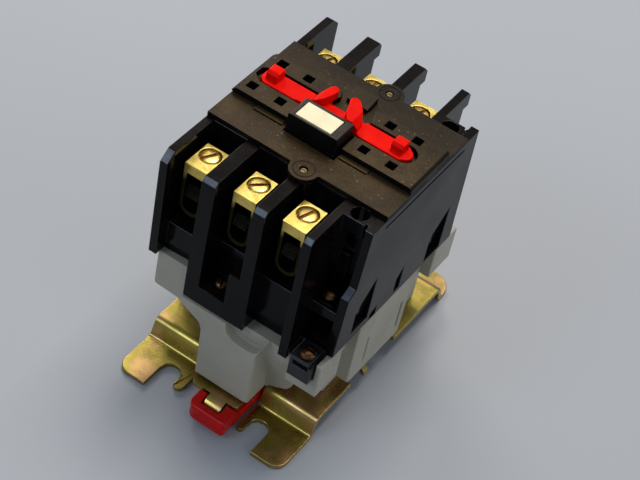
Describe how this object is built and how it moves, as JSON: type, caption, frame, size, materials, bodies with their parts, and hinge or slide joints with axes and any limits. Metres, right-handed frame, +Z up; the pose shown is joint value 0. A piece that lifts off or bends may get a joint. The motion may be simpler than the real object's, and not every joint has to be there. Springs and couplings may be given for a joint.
{
  "type": "din rail contactor",
  "caption": "Electromagnetic contactor with screw-clamp power terminals, auxiliary lane and spring-loaded carrier, on a slotted sheet-metal plate that screws down or clips on a rail.",
  "frame": {"origin": "middle of the footprint box (the bounding box's bottom centre), on the mounting face of the plate's ears", "axes": "+X across the poles towards the auxiliary lane, +Y from the clip end to the far end (across a horizontal rail), +Z up from the mounting panel"},
  "size_m": [0.075, 0.1264, 0.1129],
  "materials": {
    "zinc_plate": "yellow-passivated zinc plate, satin, slightly iridescent",
    "clip_red": "glossy moulded",
    "base_plastic": "satin warm grey moulded",
    "black_housing": "near-black glossy moulded, scuffed",
    "cover_plastic": "dark brown moulded, dusty",
    "carrier_plastic": "near-black moulded",
    "label_cream": "smooth bright plastic",
    "latch_red": "bright glossy moulded",
    "coil_terminal_black": "moulded",
    "clamp_brass": "bright, yellow-passivated",
    "screw_brass": "bright, worn slot",
    "bar_brass": "dull",
    "cover_screw_metal": "dull",
    "small_screw_steel": "yellow-passivated, tarnished",
    "contact_copper": "satin",
    "spring_steel": "bright wire",
    "winding_copper": "enamelled wire",
    "ring_copper": "satin",
    "core_iron": "laminated, ground faces",
    "pin_steel": "ground",
    "bobbin_plastic": "moulded",
    "pad_rubber": "matt"
  },
  "bodies": {
    "housing": {"mounting_plate": "zinc_plate", "base_housing": "base_plastic", "contact_housing": "black_housing", "arc_cover": "cover_plastic", "cover_screw_front": "cover_screw_metal", "cover_screw_rear": "cover_screw_metal", "fixed_contact_left_front": "bar_brass", "fixed_contact_left_rear": "bar_brass", "fixed_contact_centre_front": "bar_brass", "fixed_contact_centre_rear": "bar_brass", "fixed_contact_right_front": "bar_brass", "fixed_contact_right_rear": "bar_brass", "aux_terminal_front": "bar_brass", "aux_terminal_rear": "bar_brass", "coil_terminal_front": "coil_terminal_black", "coil_terminal_rear": "coil_terminal_black", "housing_screw_front": "small_screw_steel", "housing_screw_rear": "small_screw_steel", "core_buffer_pad": "pad_rubber", "magnet_core": "core_iron", "shading_ring_left": "ring_copper", "shading_ring_right": "ring_copper", "coil_bobbin": "bobbin_plastic", "coil_winding": "winding_copper", "return_spring_front": "spring_steel", "return_spring_rear": "spring_steel", "din_clip_spring": "spring_steel"},
    "carrier": {"contact_carrier": "carrier_plastic", "indicator_label": "label_cream", "armature": "core_iron", "armature_pin": "pin_steel", "contact_spring_left": "spring_steel", "contact_spring_centre": "spring_steel", "contact_spring_right": "spring_steel", "aux_contact_spring": "spring_steel"},
    "moving_contact_left": {"moving_contact_left": "contact_copper"},
    "moving_contact_centre": {"moving_contact_centre": "contact_copper"},
    "moving_contact_right": {"moving_contact_right": "contact_copper"},
    "aux_moving_contact": {"aux_moving_contact": "contact_copper"},
    "din_clip": {"din_clip": "clip_red"},
    "addon_latch": {"addon_latch": "latch_red"},
    "terminal_screw_left_front": {"terminal_screw_left_front": "screw_brass"},
    "terminal_clamp_left_front": {"terminal_clamp_left_front": "clamp_brass"},
    "terminal_screw_left_rear": {"terminal_screw_left_rear": "screw_brass"},
    "terminal_clamp_left_rear": {"terminal_clamp_left_rear": "clamp_brass"},
    "terminal_screw_centre_front": {"terminal_screw_centre_front": "screw_brass"},
    "terminal_clamp_centre_front": {"terminal_clamp_centre_front": "clamp_brass"},
    "terminal_screw_centre_rear": {"terminal_screw_centre_rear": "screw_brass"},
    "terminal_clamp_centre_rear": {"terminal_clamp_centre_rear": "clamp_brass"},
    "terminal_screw_right_front": {"terminal_screw_right_front": "screw_brass"},
    "terminal_clamp_right_front": {"terminal_clamp_right_front": "clamp_brass"},
    "terminal_screw_right_rear": {"terminal_screw_right_rear": "screw_brass"},
    "terminal_clamp_right_rear": {"terminal_clamp_right_rear": "clamp_brass"},
    "aux_screw_front": {"aux_screw_front": "small_screw_steel"},
    "coil_screw_front": {"coil_screw_front": "small_screw_steel"},
    "aux_screw_rear": {"aux_screw_rear": "small_screw_steel"},
    "coil_screw_rear": {"coil_screw_rear": "small_screw_steel"}
  },
  "joints": [
    {"name": "carrier_travel", "type": "slide", "parent": "housing", "child": "carrier", "axis": [0, 0, 1], "range_m": [-0.006, 0], "stiffness_N_per_m": 1500, "springref_m": 0.006, "deforming": ["return_spring_front", "return_spring_rear"]},
    {"name": "contact_left_overtravel", "type": "slide", "parent": "carrier", "child": "moving_contact_left", "axis": [0, 0, 1], "range_m": [0, 0.002], "deforming": ["contact_spring_left"]},
    {"name": "contact_centre_overtravel", "type": "slide", "parent": "carrier", "child": "moving_contact_centre", "axis": [0, 0, 1], "range_m": [0, 0.002], "deforming": ["contact_spring_centre"]},
    {"name": "contact_right_overtravel", "type": "slide", "parent": "carrier", "child": "moving_contact_right", "axis": [0, 0, 1], "range_m": [0, 0.002], "deforming": ["contact_spring_right"]},
    {"name": "aux_contact_overtravel", "type": "slide", "parent": "carrier", "child": "aux_moving_contact", "axis": [0, 0, 1], "range_m": [0, 0.002], "deforming": ["aux_contact_spring"]},
    {"name": "din_clip_pull", "type": "slide", "parent": "housing", "child": "din_clip", "axis": [0, -1, 0], "range_m": [0, 0.006], "stiffness_N_per_m": 900, "springref_m": -0.004, "deforming": ["din_clip_spring"]},
    {"name": "addon_latch_slide", "type": "slide", "parent": "housing", "child": "addon_latch", "axis": [1, 0, 0], "range_m": [-0.0015, 0]},
    {"name": "clamp_lift_left_front", "type": "slide", "parent": "housing", "child": "terminal_clamp_left_front", "axis": [0, 0, 1], "range_m": [-0.0048, 0]},
    {"name": "screw_turn_left_front", "type": "hinge", "parent": "housing", "child": "terminal_screw_left_front", "pos_m": [-0.0274, -0.0347, 0.0962], "axis": [0, 0, 1], "range_deg": [0, 2160]},
    {"name": "clamp_lift_left_rear", "type": "slide", "parent": "housing", "child": "terminal_clamp_left_rear", "axis": [0, 0, 1], "range_m": [-0.0028, 0]},
    {"name": "screw_turn_left_rear", "type": "hinge", "parent": "housing", "child": "terminal_screw_left_rear", "pos_m": [-0.0274, 0.0385, 0.0942], "axis": [0, 0, 1], "range_deg": [0, 1260]},
    {"name": "clamp_lift_centre_front", "type": "slide", "parent": "housing", "child": "terminal_clamp_centre_front", "axis": [0, 0, 1], "range_m": [-0.0048, 0]},
    {"name": "screw_turn_centre_front", "type": "hinge", "parent": "housing", "child": "terminal_screw_centre_front", "pos_m": [-0.007, -0.0347, 0.0962], "axis": [0, 0, 1], "range_deg": [0, 2160]},
    {"name": "clamp_lift_centre_rear", "type": "slide", "parent": "housing", "child": "terminal_clamp_centre_rear", "axis": [0, 0, 1], "range_m": [-0.0028, 0]},
    {"name": "screw_turn_centre_rear", "type": "hinge", "parent": "housing", "child": "terminal_screw_centre_rear", "pos_m": [-0.007, 0.0385, 0.0942], "axis": [0, 0, 1], "range_deg": [0, 1260]},
    {"name": "clamp_lift_right_front", "type": "slide", "parent": "housing", "child": "terminal_clamp_right_front", "axis": [0, 0, 1], "range_m": [-0.0048, 0]},
    {"name": "screw_turn_right_front", "type": "hinge", "parent": "housing", "child": "terminal_screw_right_front", "pos_m": [0.0134, -0.0347, 0.0962], "axis": [0, 0, 1], "range_deg": [0, 2160]},
    {"name": "clamp_lift_right_rear", "type": "slide", "parent": "housing", "child": "terminal_clamp_right_rear", "axis": [0, 0, 1], "range_m": [-0.0028, 0]},
    {"name": "screw_turn_right_rear", "type": "hinge", "parent": "housing", "child": "terminal_screw_right_rear", "pos_m": [0.0134, 0.0385, 0.0942], "axis": [0, 0, 1], "range_deg": [0, 1260]},
    {"name": "aux_screw_turn_front", "type": "hinge", "parent": "housing", "child": "aux_screw_front", "pos_m": [0.0286, -0.0348, 0.069], "axis": [0, 0, 1], "range_deg": [0, 1080]},
    {"name": "coil_screw_turn_front", "type": "hinge", "parent": "housing", "child": "coil_screw_front", "pos_m": [0.0306, -0.0464, 0.0495], "axis": [0, 0, 1], "range_deg": [0, 1080]},
    {"name": "aux_screw_turn_rear", "type": "hinge", "parent": "housing", "child": "aux_screw_rear", "pos_m": [0.0286, 0.0398, 0.069], "axis": [0, 0, 1], "range_deg": [0, 1080]},
    {"name": "coil_screw_turn_rear", "type": "hinge", "parent": "housing", "child": "coil_screw_rear", "pos_m": [0.0306, 0.0434, 0.0495], "axis": [0, 0, 1], "range_deg": [0, 1080]}
  ],
  "couplings": [
    {"joint": "contact_left_overtravel", "follows": "carrier_travel", "ratio": -0.33333},
    {"joint": "contact_centre_overtravel", "follows": "carrier_travel", "ratio": -0.33333},
    {"joint": "contact_right_overtravel", "follows": "carrier_travel", "ratio": -0.33333},
    {"joint": "aux_contact_overtravel", "follows": "carrier_travel", "ratio": -0.33333},
    {"joint": "screw_turn_left_front", "follows": "clamp_lift_left_front", "rad_per_m": -7853.9},
    {"joint": "screw_turn_left_rear", "follows": "clamp_lift_left_rear", "rad_per_m": -7853.9},
    {"joint": "screw_turn_centre_front", "follows": "clamp_lift_centre_front", "rad_per_m": -7853.9},
    {"joint": "screw_turn_centre_rear", "follows": "clamp_lift_centre_rear", "rad_per_m": -7853.9},
    {"joint": "screw_turn_right_front", "follows": "clamp_lift_right_front", "rad_per_m": -7853.9},
    {"joint": "screw_turn_right_rear", "follows": "clamp_lift_right_rear", "rad_per_m": -7853.9}
  ]
}
